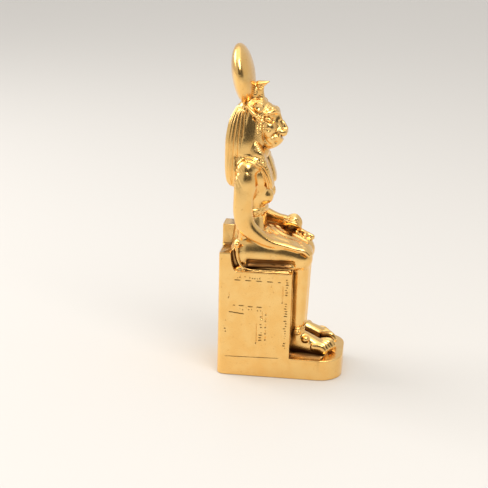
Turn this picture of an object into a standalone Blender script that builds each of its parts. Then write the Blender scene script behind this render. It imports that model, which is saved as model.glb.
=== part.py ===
"""A souvenir statuette of the lioness-headed goddess of ancient Egypt, seated on a block throne.

The figure, its throne and the low base are one gold-finished casting, so they are one object.
The figure faces -Y, its right side is at -X, and the origin is the centre of the base's underside.
The throne and the base are plain blocks with shallow carving. The figure is closed forms that are
joined, smoothed, carved and thinned, with its places given in units of its own height.
"""

import math

import bmesh
import bpy
import numpy as np
from mathutils import Matrix, Vector

# Base, with round front corners: its rear part lies under the throne
WIDTH = 0.0246
BASE_HEIGHT = 0.0064
BASE_FRONT_LENGTH = 0.0161
BASE_FRONT_RADIUS = 0.0075
REAR_RADIUS = 0.0024

# Throne: a block as wide as the base, with a low back, and a taller pillar behind the figure
THRONE_DEPTH = 0.0224
THRONE_HEIGHT = 0.0272
LOW_BACK_RISE = 0.0057
LOW_BACK_DEPTH = 0.0037
LOW_BACK_CURVE = 0.0022
CLOTH_THICKNESS = 0.0007
CLOTH_INSET = 0.0028
PILLAR_WIDTH = 0.0066
PILLAR_RISE = 0.0120
PILLAR_REAR_INSET = 0.0002
PILLAR_DEPTH = 0.0065
EDGE_ROUNDING = 0.0005

# Carving on the throne: lines, a rung border and a small panel in the lower rear corner
GROOVE_WIDTH = 0.00045
GROOVE_DEPTH = 0.00030
BORDER_WIDTH = 0.0026
RUNG_PITCH = 0.00135
PANEL_MARGIN = 0.0035
PANEL_LENGTH = 0.0118
PANEL_HEIGHT = 0.0140
PANEL_BORDER = 0.0028

# Figure: the height of its upper part, from the seat to the top of the disc, holds 66.6 units
UPPER_HEIGHT = 0.0666
UNIT = UPPER_HEIGHT / 66.6
REAR_LINE = 1.5
TOE_CLEARANCE = 0.0024
DISC_RADIUS = 0.00915
DISC_FRONT_BULGE = 0.0035
DISC_REAR_BULGE = 0.00305
DISC_LEAN = math.radians(9.8)
DISC_CENTRE = (0, 6.1, 57.97)

# Fineness of the figure's surface
BODY_VOXEL = 0.00040
HEAD_VOXEL = 0.00028
BODY_TRIANGLES = 3400
HEAD_TRIANGLES = 4000
SOFTENING = 10
RING_POINTS = 28

BASE_LENGTH = THRONE_DEPTH + BASE_FRONT_LENGTH
REAR = BASE_LENGTH / 2
THRONE_FRONT = REAR - THRONE_DEPTH
SEAT_TOP = BASE_HEIGHT + THRONE_HEIGHT
FOOT_UNIT = (BASE_FRONT_LENGTH - TOE_CLEARANCE) / 13.7


def seated(x, forward, up):
    """A place on the upper body: units across, forward with the throne's rear at 1.5, up from the seat."""
    return Vector((x * UNIT, REAR - (forward - REAR_LINE) * UNIT, SEAT_TOP + up * UNIT))


def kneed(x, forward, up):
    """A place on a thigh or knee: units across, forward from the throne's front, up from the seat."""
    return Vector((x * UNIT, THRONE_FRONT - forward * UNIT, SEAT_TOP + up * UNIT))


def footed(x, forward, up):
    """A place on a foot or shin: units across, forward from the throne's front, up from the base."""
    return Vector((x * UNIT, THRONE_FRONT - forward * FOOT_UNIT, BASE_HEIGHT + up * UNIT))


def new_object(name, bm):
    mesh = bpy.data.meshes.new(name)
    bmesh.ops.recalc_face_normals(bm, faces=bm.faces)
    bm.to_mesh(mesh)
    bm.free()
    obj = bpy.data.objects.new(name, mesh)
    bpy.context.collection.objects.link(obj)
    return obj


def apply_modifiers(obj):
    """Replaces the object's mesh by what its modifiers make of it."""
    graph = bpy.context.evaluated_depsgraph_get()
    made = bpy.data.meshes.new_from_object(obj.evaluated_get(graph))
    obj.modifiers.clear()
    obj.data = made


def combine(obj, other, operation):
    """Adds another object to this one, or cuts it out, and removes the other."""
    boolean = obj.modifiers.new(operation, "BOOLEAN")
    boolean.operation = operation
    boolean.solver = "EXACT"
    boolean.use_self = operation == "DIFFERENCE"
    boolean.object = other
    apply_modifiers(obj)
    bpy.data.objects.remove(other)


# Forms


def oval(centre, across, upward, wide, high, power=2.0):
    """A ring of points: an oval, squarer as its power grows."""
    ring = []
    for step in range(RING_POINTS):
        angle = 2 * math.pi * step / RING_POINTS
        c = math.cos(angle)
        s = math.sin(angle)
        to_side = math.copysign(abs(c) ** (2 / power), c) * wide
        to_top = math.copysign(abs(s) ** (2 / power), s) * high
        ring.append(centre + across * to_side + upward * to_top)
    return ring


def skin(bm, rings):
    """A closed form through rings of points, one after another."""
    rows = [[bm.verts.new(point) for point in ring] for ring in rings]
    for low, high in zip(rows, rows[1:]):
        for k in range(RING_POINTS):
            after = (k + 1) % RING_POINTS
            bm.faces.new((low[k], low[after], high[after], high[k]))
    bm.faces.new(rows[0])
    bm.faces.new(rows[-1])


def stack(bm, levels, power=2.2):
    """An upright form of level ovals: (up, rear, front, half width) in units, from the seat."""
    rings = []
    for up, rear, front, half in levels:
        centre = seated(0, (rear + front) / 2, up)
        depth = (front - rear) / 2 * UNIT
        rings.append(oval(centre, Vector((1, 0, 0)), Vector((0, -1, 0)), half * UNIT, depth, power))
    skin(bm, rings)


def smooth_run(values, steps=4):
    """Vectors on a smooth curve through the given ones, with a number of steps between each two."""
    run = [values[0]]
    for k in range(len(values) - 1):
        before = values[max(k - 1, 0)]
        start = values[k]
        end = values[k + 1]
        after = values[min(k + 2, len(values) - 1)]
        for step in range(1, steps + 1):
            t = step / steps
            bend = (2 * before - 5 * start + 4 * end - after) * t * t
            turn = (3 * start - before - 3 * end + after) * t * t * t
            run.append(start + ((end - before) * t + bend + turn) / 2)
    return run


def limb(bm, places, sizes, across=Vector((1, 0, 0)), power=2.0):
    """A round-ended tube on a smooth curve through places, with (half width, half height) at each."""
    path = smooth_run(places)
    widths = smooth_run([Vector((*size, 0)) * UNIT for size in sizes])
    rings = []
    for k, (place, (wide, high, _)) in enumerate(zip(path, widths)):
        along = (path[min(k + 1, len(path) - 1)] - path[max(k - 1, 0)]).normalized()
        side = (across - along * across.dot(along)).normalized()
        upward = along.cross(side)
        if k in (0, len(path) - 1):
            turns = (0, 30, 55, 75) if k else (-75, -55, -30, 0)
        else:
            turns = (0,)
        for turn in turns:
            swell = math.cos(math.radians(turn))
            centre = place + along * min(wide, high) * math.sin(math.radians(turn))
            rings.append(oval(centre, side, upward, wide * swell, high * swell, power))
    skin(bm, rings)


def ball(bm, centre, half_sizes):
    """An ellipsoid with half sizes in units across, forward and up."""
    wide, deep, high = (size * UNIT for size in half_sizes)
    rings = []
    for step in range(13):
        angle = math.pi * (step / 12 - 0.5)
        swell = max(math.cos(angle), 0.03)
        level = centre + Vector((0, 0, high * math.sin(angle)))
        rings.append(oval(level, Vector((1, 0, 0)), Vector((0, 1, 0)), wide * swell, deep * swell))
    skin(bm, rings)


# Body


def add_torso(bm):
    stack(
        bm,
        (
            (-0.4, 4.0, 14.4, 8.4),
            (6.0, 4.0, 14.6, 8.2),
            (11.0, 4.6, 14.7, 6.9),
            (16.6, 5.0, 14.0, 5.8),
            (19.4, 5.0, 14.8, 6.2),
            (23.0, 5.0, 15.4, 7.2),
            (27.0, 5.2, 16.0, 8.4),
            (30.6, 5.6, 14.9, 8.2),
            (33.2, 6.4, 13.6, 6.8),
            (35.4, 7.2, 12.8, 4.6),
        ),
        power=2.7,
    )


def add_arm_web(bm):
    """What the mould leaves filled between the arms and the waist."""
    stack(bm, ((9.0, 6.4, 10.4, 9.0), (20.0, 6.4, 10.6, 8.8), (30.0, 6.6, 10.8, 8.4)), power=4.0)


def add_belt(bm):
    levels = ((15.6, 5.0, 14.3, 6.0), (16.0, 4.8, 14.8, 6.3), (17.5, 4.8, 15.0, 6.4), (17.9, 5.0, 14.6, 6.1))
    stack(bm, levels)


def add_breast(bm, side):
    ball(bm, seated(side * 3.2, 14.2, 21.8), (2.6, 2.6, 2.7))


def add_arm(bm, side, forearm, sizes):
    """A shoulder, an upper arm and a bent elbow, which runs on into a forearm."""
    ball(bm, seated(side * 8.3, 8.7, 26.3), (3.7, 3.5, 6.3))
    places = [
        seated(side * 8.0, 8.8, 29.4),
        seated(side * 9.0, 8.5, 26.8),
        seated(side * 9.7, 8.35, 22.4),
        seated(side * 9.75, 8.35, 17.6),
        seated(side * 9.7, 9.6, 13.6),
    ]
    arm_sizes = [(2.7, 2.9), (2.7, 3.1), (2.4, 3.0), (2.4, 2.95), (2.4, 2.8)]
    limb(bm, places + forearm, arm_sizes + sizes, power=2.5)


def add_right_arm(bm):
    """The arm whose hand lies flat on the thigh."""
    forearm = [seated(-9.4, 13.0, 10.8), seated(-8.9, 16.7, 8.8), kneed(-8.1, -4.0, 8.0)]
    add_arm(bm, -1, forearm, [(2.25, 2.1), (2.0, 1.5), (1.85, 1.15)])


def add_left_arm(bm):
    """The arm whose hand is a fist."""
    forearm = [seated(9.3, 14.0, 12.3), seated(8.5, 17.0, 11.6), kneed(7.4, -4.1, 11.4)]
    add_arm(bm, 1, forearm, [(2.2, 1.95), (1.9, 1.55), (1.75, 1.5)])


def add_right_hand(bm):
    hand = [kneed(-8.1, -4.0, 8.0), kneed(-7.6, -1.2, 7.5), kneed(-7.2, 1.4, 6.8)]
    limb(bm, hand, [(1.8, 1.1), (2.3, 1.0), (2.5, 0.9)], power=2.4)
    for finger in range(4):
        x = -9.1 + 1.3 * finger
        tip = 4.6 + 0.5 * (1 - abs(finger - 1.6) / 1.6)
        places = [kneed(x, 1.0, 6.9), kneed(x * 0.98, 3.0, 6.5), kneed(x * 0.97, tip, 5.2)]
        limb(bm, places, [(0.72, 0.8), (0.68, 0.75), (0.55, 0.55)])
    thumb = [kneed(-5.9, -3.6, 8.0), kneed(-4.9, -1.2, 7.9), kneed(-4.6, 1.0, 7.2)]
    limb(bm, thumb, [(0.9, 0.9), (0.85, 0.8), (0.6, 0.55)])


def add_left_hand(bm):
    """The fist, its thumb, and the looped cross that it holds."""
    ball(bm, kneed(7.1, -2.4, 10.3), (2.3, 2.6, 2.3))
    for finger in range(4):
        x = 5.3 + 1.2 * finger
        places = [kneed(x, -3.5, 11.8), kneed(x, -1.6, 12.5), kneed(x, -0.2, 11.6)]
        places += [kneed(x, 0.4, 10.0), kneed(x, -0.3, 8.7)]
        limb(bm, places, [(0.55, 0.6), (0.6, 0.75), (0.6, 0.75), (0.58, 0.7), (0.52, 0.6)])
    thumb = [kneed(4.7, -4.1, 11.2), kneed(4.3, -2.1, 11.6), kneed(4.4, -0.3, 11.0), kneed(4.9, 0.7, 10.0)]
    limb(bm, thumb, [(0.85, 0.9), (0.8, 0.85), (0.7, 0.7), (0.5, 0.5)])
    shaft = [kneed(6.4, -0.3, 9.0), kneed(6.3, 2.2, 7.7), kneed(6.2, 4.5, 6.6)]
    limb(bm, shaft, [(0.8, 0.9)] * 3, power=3.0)
    bar = [kneed(4.6, 2.2, 7.7), kneed(7.9, 2.4, 7.0)]
    limb(bm, bar, [(0.7, 0.9)] * 2, Vector((0, -1, 0)), 3.0)


def add_thigh(bm, side):
    places = [seated(side * 5.5, 9.4, 4.4), seated(side * 5.4, 16.0, 4.5)]
    places += [kneed(side * 5.2, -2.5, 3.9), kneed(side * 4.9, 1.5, 3.1)]
    limb(bm, places, [(5.2, 6.2), (5.1, 6.0), (4.8, 5.3), (4.3, 4.1)], power=2.1)


def add_shin(bm, side):
    places = [kneed(side * 4.3, 1.9, 2.0), footed(side * 4.4, 1.6, 18.6), footed(side * 4.5, 1.6, 9.4)]
    places += [footed(side * 4.6, 1.8, 6.2), footed(side * 4.6, 2.0, 2.0)]
    limb(bm, places, [(3.6, 3.0), (3.4, 2.9), (3.0, 2.6), (2.5, 2.3), (2.4, 2.4)])


def add_dress(bm):
    """The dress between the thighs and between the shins, and its fold under the left forearm."""
    lap = [seated(0, 10.0, 4.8), seated(0, 16.8, 4.8), kneed(0, -1.7, 3.4), kneed(0, 1.7, 3.0)]
    limb(bm, lap, [(4.6, 6.4), (4.6, 6.1), (4.4, 4.8), (4.2, 3.7)], power=3.0)
    fall = [kneed(0, 1.6, 3.4), footed(0, 1.2, 18.6), footed(0, 0.8, 8.8)]
    limb(bm, fall, [(4.4, 2.7), (4.3, 2.2), (4.2, 1.9)], power=3.2)
    fold = [seated(8.4, 13.0, 9.6), seated(8.0, 17.0, 9.4), kneed(7.2, -2.9, 8.8)]
    limb(bm, fold, [(1.5, 2.6), (1.5, 2.2), (1.4, 1.8)])


def add_foot(bm, side):
    profile = (
        (0.4, 4.6, 2.3, 6.4),
        (3.2, 4.7, 2.5, 6.6),
        (5.2, 4.8, 2.6, 5.8),
        (7.1, 5.0, 2.8, 4.9),
        (8.7, 5.1, 3.1, 4.2),
        (9.9, 5.1, 3.0, 3.5),
    )
    places = [footed(side * x, forward, top / 2 - 0.3) for forward, x, _, top in profile]
    limb(bm, places, [(half, top / 2 + 0.3) for _, _, half, top in profile], power=2.6)


def add_toes(bm, side):
    """Five toes, the foot's inner edge, the ankle bone and the bead above it."""
    for toe in range(5):
        inward = 1 - toe / 4
        tip = 13.7 - 0.62 * toe
        size = 0.62 + 0.33 * inward ** 3
        x = side * (2.6 + 1.36 * toe)
        places = [footed(x, tip - 4.4, 2.8), footed(x, tip - 2.0, 2.6 + 0.3 * inward)]
        places.append(footed(x, tip - 0.75, 1.5))
        limb(bm, places, [(size * 0.9, 1.1), (size, 1.25), (size, 1.05 + 0.1 * inward)])
    limb(bm, [footed(side * 2.9, 7.1, 1.9), footed(side * 2.9, 11.7, 1.6)], [(0.9, 1.5), (0.9, 1.3)])
    ball(bm, footed(side * 7.0, 4.5, 4.8), (1.0, 1.2, 1.1))
    ball(bm, footed(side * 7.3, 1.8, 7.3), (0.7, 1.1, 1.1))


def add_seat_roll(bm, side):
    """The rolled edge of the seat's cloth, from a knob behind the elbow down to the seat and along it."""
    places = [
        seated(side * 10.6, 6.8, 7.8),
        seated(side * 10.8, 6.9, 5.6),
        seated(side * 10.9, 7.4, 3.2),
        seated(side * 10.9, 8.6, 1.3),
        seated(side * 10.7, 11.0, 0.4),
        seated(side * 10.4, 16.0, 0.35),
        seated(side * 10.2, 22.4, 0.3),
    ]
    limb(bm, places, [(0.7, 0.7)] * 3 + [(0.6, 0.6)] * 4)
    ball(bm, seated(side * 10.4, 8.2, 0.3), (1.1, 1.9, 1.1))
    ball(bm, seated(side * 10.8, 6.8, 8.1), (1.0, 0.95, 0.95))


# Head


def add_wig(bm):
    stack(
        bm,
        (
            (24.4, 3.4, 9.0, 5.8),
            (25.2, 2.5, 9.8, 6.8),
            (26.8, 1.9, 10.4, 7.6),
            (30.0, 1.6, 10.8, 7.9),
            (34.0, 1.5, 12.6, 7.7),
            (37.9, 1.5, 12.9, 7.6),
            (40.8, 1.8, 12.9, 7.1),
            (43.8, 2.4, 12.7, 6.4),
            (46.6, 3.6, 12.7, 5.6),
            (48.4, 4.8, 13.0, 4.9),
            (49.8, 5.8, 13.4, 4.1),
            (50.7, 7.0, 13.2, 3.0),
        ),
        power=3.1,
    )


def add_lappet(bm, side):
    places = [
        seated(side * 4.8, 10.4, 36.8),
        seated(side * 5.0, 11.8, 34.3),
        seated(side * 4.9, 13.7, 31.3),
        seated(side * 4.6, 15.1, 28.2),
        seated(side * 4.4, 15.8, 25.4),
    ]
    limb(bm, places, [(2.6, 2.3), (2.8, 2.2), (2.9, 1.5), (3.0, 1.2), (2.9, 1.1)], power=3.4)


def add_neck(bm):
    limb(bm, [seated(0, 10.4, 30.0), seated(0, 10.6, 38.0)], [(3.6, 3.3), (3.6, 3.3)])


def add_skull(bm):
    ball(bm, seated(0, 11.4, 45.2), (4.9, 5.4, 5.2))
    ball(bm, seated(0, 14.0, 38.8), (3.8, 3.7, 3.3))
    stack(
        bm,
        (
            (35.7, 11.0, 15.8, 1.8),
            (36.5, 11.0, 17.2, 2.3),
            (37.6, 11.0, 18.4, 2.5),
            (38.7, 11.0, 19.0, 2.6),
            (39.6, 11.0, 19.2, 2.7),
            (40.8, 11.0, 20.0, 2.8),
            (42.0, 11.0, 20.0, 2.6),
            (43.6, 11.0, 19.1, 2.2),
            (45.6, 11.0, 18.0, 1.9),
            (47.2, 11.0, 17.5, 2.2),
            (48.6, 11.0, 16.2, 2.6),
        ),
    )


def add_snout(bm):
    """The bridge of the nose, its tip, and the pads beside it."""
    bridge = [seated(0, 16.6, 45.6), seated(0, 18.2, 43.6), seated(0, 19.3, 41.9)]
    limb(bm, bridge, [(1.1, 0.8), (1.1, 0.9), (1.3, 0.9)])
    for side in (-1, 1):
        ball(bm, seated(side * 1.45, 17.9, 41.0), (1.6, 2.2, 1.5))


def add_cheek(bm, side):
    ball(bm, seated(side * 2.5, 14.2, 42.0), (2.3, 2.7, 3.2))


def add_eye(bm, side):
    """The eyeball and the brow over it."""
    ball(bm, seated(side * 3.3, 14.5, 45.1), (1.0, 1.3, 0.75))
    brow = [seated(side * 0.8, 17.0, 46.9), seated(side * 2.5, 16.0, 47.4), seated(side * 4.2, 13.5, 46.6)]
    limb(bm, brow, [(0.7, 0.6), (0.8, 0.7), (0.6, 0.5)], Vector((0, 0, 1)))


def add_ear(bm, side):
    ball(bm, seated(side * 4.6, 11.7, 48.8), (1.1, 1.75, 1.75))


def add_mane(bm):
    """The ruff of fur round the face, in front of the wig."""
    ball(bm, seated(0, 12.0, 41.4), (5.7, 2.0, 7.2))
    ball(bm, seated(0, 12.6, 34.6), (4.4, 2.2, 2.6))


def add_ledge(bm, side):
    """The wig's edge, which stands out from the disc's foot down to the temple."""
    places = [seated(side * 4.6, 7.2, 49.4), seated(side * 5.9, 9.8, 47.5), seated(side * 6.1, 12.2, 45.3)]
    limb(bm, places, [(0.7, 0.6), (0.8, 0.65), (0.6, 0.5)])


def add_disc(bm):
    centre = seated(*DISC_CENTRE)
    matrix = Matrix.Translation(centre) @ Matrix.Rotation(-DISC_LEAN, 4, "X")
    rings = []
    for step in range(13):
        angle = math.pi * (step / 12 - 0.5)
        radius = max(DISC_RADIUS * math.cos(angle), 0.0002)
        bulge = DISC_REAR_BULGE if angle > 0 else DISC_FRONT_BULGE
        depth = bulge * math.sin(angle)
        ring = oval(Vector((0, depth, 0)), Vector((1, 0, 0)), Vector((0, 0, 1)), radius, radius)
        rings.append([matrix @ point for point in ring])
    skin(bm, rings)


def add_cobra(bm):
    stem = [seated(0, 12.0, 49.0), seated(0, 11.6, 50.8), seated(0, 11.4, 52.8), seated(0, 11.4, 54.2)]
    limb(bm, stem, [(1.5, 1.6), (1.4, 1.25), (1.5, 1.1), (1.7, 1.15)])
    hood = [seated(0, 11.1, 54.8), seated(0, 12.1, 55.1), seated(0, 13.1, 55.5), seated(0, 14.0, 55.8)]
    limb(bm, hood, [(1.6, 1.25), (1.4, 0.95), (0.9, 0.55), (0.4, 0.25)])
    ball(bm, seated(0, 9.7, 51.6), (1.9, 1.8, 4.3))


# Carving of the figure


def carve(obj, depth_at):
    """Moves each point in along its normal by depth_at(across, forward, up), all in units."""
    mesh = obj.data
    points = np.empty(len(mesh.vertices) * 3)
    normals = np.empty(len(mesh.vertices) * 3)
    mesh.vertices.foreach_get("co", points)
    mesh.vertices.foreach_get("normal", normals)
    points = points.reshape(-1, 3)
    normals = normals.reshape(-1, 3)
    across = points[:, 0] / UNIT
    forward = (REAR - points[:, 1]) / UNIT + REAR_LINE
    up = (points[:, 2] - SEAT_TOP) / UNIT
    depth = depth_at(across, forward, up) * UNIT
    points -= normals * depth[:, None]
    mesh.vertices.foreach_set("co", points.ravel())
    mesh.update()


def band(value, low, high, soft=0.5):
    """1 where a value lies between two limits, falling to 0 over a soft edge."""
    return np.clip((value - low) / soft, 0, 1) * np.clip((high - value) / soft, 0, 1)


def line(distance, half_width):
    """A round-bottomed groove: 1 on the line, 0 at its half width and beyond."""
    return np.clip(1 - (distance / half_width) ** 2, 0, 1)


# Depths of the carving, and the strands' spacing, in units
STRAND_DEPTH = 0.30
STRANDS_ROUND_WIG = 37
LAPPET_STRAND_DEPTH = 0.20
LAPPET_STRAND_PITCH = 1.3
MOUTH_DEPTH = 0.65
LIP_SPLIT_DEPTH = 0.35
EYE_RIM_DEPTH = 0.30
EAR_DEPTH = 0.70
HEM_UP = 8.6
HEM_DEPTH = 0.28
RECESS_DEPTH = 1.0
KNEE_LINE = THRONE_DEPTH / UNIT + REAR_LINE

# Rear edge of the lappets: (-up, forward) places, in units from the seat
LAPPET_EDGE = ((-33.4, -32.6, -30.9, -28.7, -26.5, -24.2), (9.6, 11.5, 13.5, 14.9, 15.7, 15.9))


def head_depth(across, forward, up):
    """Strands on the wig, lappets and ruff, and the lioness's eyes, mouth and nose."""
    side = np.abs(across)
    angle = np.arctan2(across, 8.0 - forward)
    front_edge = 4.6 + 0.22 * (up - 34.0)
    on_back = band(front_edge - forward, 0, 90) * band(up, 24.6, 47.4)
    depth = STRAND_DEPTH * on_back * (0.5 - 0.5 * np.cos(angle * STRANDS_ROUND_WIG))
    lappet_edge = forward - np.interp(-up, *LAPPET_EDGE)
    beside = band(side, 3.5, 12)
    depth += STRAND_DEPTH * beside * line(lappet_edge - 0.5, 0.5) * band(up, 24, 33.2)
    lappet_strands = 0.5 - 0.5 * np.cos(lappet_edge * 2 * math.pi / LAPPET_STRAND_PITCH)
    depth += LAPPET_STRAND_DEPTH * lappet_strands * beside * band(lappet_edge, 1.0, 6) * band(up, 24, 33.5)
    mouth = 40.6 - 0.33 * (forward - 16.9) ** 2
    depth += MOUTH_DEPTH * line(up - mouth, 0.6) * band(forward, 15.3, 99)
    depth += LIP_SPLIT_DEPTH * band(forward, 18.4, 99) * band(up, 39.6, 41.2) * line(across, 0.4)
    eye = ((forward - 14.4) / 1.45) ** 2 + ((up - 45.1 + 0.25 * (forward - 14.4)) / 0.95) ** 2
    depth += EYE_RIM_DEPTH * line(np.sqrt(eye) - 1, 0.30) * band(side, 2.2, 9)
    ear = ((forward - 11.9) / 1.1) ** 2 + ((up - 49.0) / 1.15) ** 2
    depth += EAR_DEPTH * np.clip(1 - ear, 0, 1) * band(side, 4.4, 9)
    return depth


def body_depth(across, forward, up):
    """The dress's hem above the ankles, and the recess between the thighs and the seat."""
    hem = (BASE_HEIGHT - SEAT_TOP) / UNIT + HEM_UP
    depth = HEM_DEPTH * line(up - hem, 0.35) * band(forward, KNEE_LINE + 0.2, 99)
    under_thigh = band(forward, 9.5, KNEE_LINE + 0.7, 1.2) * band(up, 1.1, 3.6)
    depth += RECESS_DEPTH * under_thigh * band(np.abs(across), 5, 99)
    return depth


def one_body(obj, voxel, smoothing):
    """Joins the closed forms in an object to one body and smooths it."""
    remesh = obj.modifiers.new("one_body", "REMESH")
    remesh.mode = "VOXEL"
    remesh.voxel_size = voxel
    smooth = obj.modifiers.new("soft", "SMOOTH")
    smooth.iterations = smoothing
    apply_modifiers(obj)


def clay(name, soft_forms, fine_forms, voxel, depth_at, triangles):
    """A body of soft forms that run into each other, with finer forms on it, carved and thinned."""
    bm = bmesh.new()
    for form in soft_forms:
        form(bm)
    obj = new_object(name, bm)
    one_body(obj, voxel, SOFTENING)
    bm = bmesh.new()
    bm.from_mesh(obj.data)
    for form in fine_forms:
        form(bm)
    bm.to_mesh(obj.data)
    bm.free()
    one_body(obj, voxel, 1)
    carve(obj, depth_at)
    thin = obj.modifiers.new("thin", "DECIMATE")
    thin.ratio = triangles / (2 * len(obj.data.polygons))
    apply_modifiers(obj)
    return obj


def paired(form):
    """A form made on the right side and on the left side."""
    return lambda bm: [form(bm, side) for side in (-1, 1)]


def make_body():
    soft_forms = [add_torso, add_arm_web, paired(add_breast), add_right_arm, add_left_arm, add_dress]
    soft_forms += [paired(form) for form in (add_thigh, add_shin, add_foot)]
    fine_forms = (add_belt, add_right_hand, add_left_hand, paired(add_toes), paired(add_seat_roll))
    return clay("body", soft_forms, fine_forms, BODY_VOXEL, body_depth, BODY_TRIANGLES)


def make_head():
    soft_forms = (add_wig, add_neck, add_skull, paired(add_cheek), add_disc)
    fine_forms = [add_mane, add_snout, add_cobra]
    fine_forms += [paired(form) for form in (add_lappet, add_eye, add_ear, add_ledge)]
    return clay("head", soft_forms, fine_forms, HEAD_VOXEL, head_depth, HEAD_TRIANGLES)


# Throne and base


def side_profile():
    """The throne's outline from the side, as (forward, up) from the rear foot of the throne."""
    outline = [(0, -BASE_HEIGHT / 2), (THRONE_DEPTH, -BASE_HEIGHT / 2), (THRONE_DEPTH, THRONE_HEIGHT)]
    for step in range(7):
        angle = math.pi / 2 * step / 6
        forward = LOW_BACK_DEPTH + LOW_BACK_CURVE * (1 - math.sin(angle))
        outline.append((forward, THRONE_HEIGHT + LOW_BACK_RISE * (1 - math.cos(angle))))
    outline.append((LOW_BACK_DEPTH - REAR_RADIUS / 4, THRONE_HEIGHT + LOW_BACK_RISE))
    outline.append((REAR_RADIUS / 2, THRONE_HEIGHT + LOW_BACK_RISE))
    outline.append((0, THRONE_HEIGHT + LOW_BACK_RISE - REAR_RADIUS / 2))
    return outline


def extrude(bm, outline, direction):
    face = bm.faces.new([bm.verts.new(point) for point in outline])
    made = bmesh.ops.extrude_face_region(bm, geom=[face])
    moved = [item for item in made["geom"] if isinstance(item, bmesh.types.BMVert)]
    bmesh.ops.translate(bm, verts=moved, vec=direction)


def make_base():
    """The base: a slab whose plan has round corners, larger at the front."""
    outline = []
    for x, y, radius, start in (
        (WIDTH / 2, -REAR, BASE_FRONT_RADIUS, -90),
        (WIDTH / 2, REAR, REAR_RADIUS, 0),
        (-WIDTH / 2, REAR, REAR_RADIUS, 90),
        (-WIDTH / 2, -REAR, BASE_FRONT_RADIUS, 180),
    ):
        centre = Vector((x - math.copysign(radius, x), y - math.copysign(radius, y), 0))
        for step in range(9):
            angle = math.radians(start + 90 * step / 8)
            outline.append(centre + radius * Vector((math.cos(angle), math.sin(angle), 0)))
    bm = bmesh.new()
    extrude(bm, outline, (0, 0, BASE_HEIGHT))
    top = [edge for edge in bm.edges if all(v.co.z > BASE_HEIGHT / 2 for v in edge.verts)]
    bmesh.ops.bevel(bm, geom=top, offset=EDGE_ROUNDING, segments=2, affect="EDGES", profile=0.5)
    return new_object("base", bm)


def make_throne():
    """The block with its low back, its rear upright edges rounder than the base's."""
    bm = bmesh.new()
    outline = [Vector((-WIDTH / 2, REAR - f, BASE_HEIGHT + z)) for f, z in side_profile()]
    extrude(bm, outline, (WIDTH, 0, 0))
    rear = [edge for edge in bm.edges if is_upright(edge) and edge.verts[0].co.y > REAR - REAR_RADIUS / 2]
    radius = REAR_RADIUS + EDGE_ROUNDING
    bmesh.ops.bevel(bm, geom=rear, offset=radius, segments=4, affect="EDGES", profile=0.5)
    return new_object("throne", bm)


def is_upright(edge):
    first, second = edge.verts
    return abs(first.co.y - second.co.y) < 1e-6 and abs(first.co.x - second.co.x) < 1e-6


def make_cloth():
    """The cloth on the seat, which turns up the low back, a little narrower than the throne."""
    bm = bmesh.new()
    half = WIDTH / 2 - CLOTH_INSET
    outline = []
    for forward, up in side_profile()[2:10]:
        rise = (up - THRONE_HEIGHT) / LOW_BACK_RISE
        outline.append((forward + CLOTH_THICKNESS * rise, up + CLOTH_THICKNESS * (1 - rise)))
    outline[0] = (THRONE_DEPTH - CLOTH_THICKNESS, THRONE_HEIGHT + CLOTH_THICKNESS)
    outline.append((LOW_BACK_DEPTH / 2, THRONE_HEIGHT + LOW_BACK_RISE / 2))
    outline.append((LOW_BACK_DEPTH / 2, THRONE_HEIGHT / 2))
    outline.append((THRONE_DEPTH - CLOTH_THICKNESS, THRONE_HEIGHT / 2))
    extrude(bm, [Vector((-half, REAR - f, BASE_HEIGHT + z)) for f, z in outline], (2 * half, 0, 0))
    return new_object("cloth", bm)


def make_pillar():
    """The pillar behind the figure, which reaches forward into its back."""
    bm = bmesh.new()
    rear = REAR - PILLAR_REAR_INSET
    depth = PILLAR_DEPTH - PILLAR_REAR_INSET
    height = THRONE_HEIGHT / 2 + PILLAR_RISE
    centre = Vector((0, rear - depth / 2, SEAT_TOP + PILLAR_RISE - height / 2))
    matrix = Matrix.Translation(centre) @ Matrix.Diagonal((PILLAR_WIDTH, depth, height, 1))
    bmesh.ops.create_cube(bm, size=1, matrix=matrix)
    bmesh.ops.bevel(bm, geom=bm.edges[:], offset=EDGE_ROUNDING, segments=2, affect="EDGES", profile=0.5)
    return new_object("pillar", bm)


def add_groove(bm, low, high):
    """A shallow groove in both sides of the throne, between two (forward, up) corners."""
    size = Vector((2 * GROOVE_DEPTH, high[0] - low[0], high[1] - low[1]))
    for side in (-1, 1):
        middle = ((low[0] + high[0]) / 2, (low[1] + high[1]) / 2)
        centre = Vector((side * WIDTH / 2, REAR - middle[0], BASE_HEIGHT + middle[1]))
        matrix = Matrix.Translation(centre) @ Matrix.Diagonal((*size, 1))
        bmesh.ops.create_cube(bm, size=1, matrix=matrix)


def add_rungs(bm, low, high, pitch, upright=False):
    """Short grooves side by side across a band between two (forward, up) corners."""
    along = 0 if upright else 1
    count = max(int((high[along] - low[along]) / pitch), 1)
    for k in range(count):
        start = low[along] + (high[along] - low[along]) * (k + 0.5) / count - GROOVE_WIDTH / 2
        if upright:
            add_groove(bm, (start, low[1]), (start + GROOVE_WIDTH, high[1]))
        else:
            add_groove(bm, (low[0], start), (high[0], start + GROOVE_WIDTH))


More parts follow.
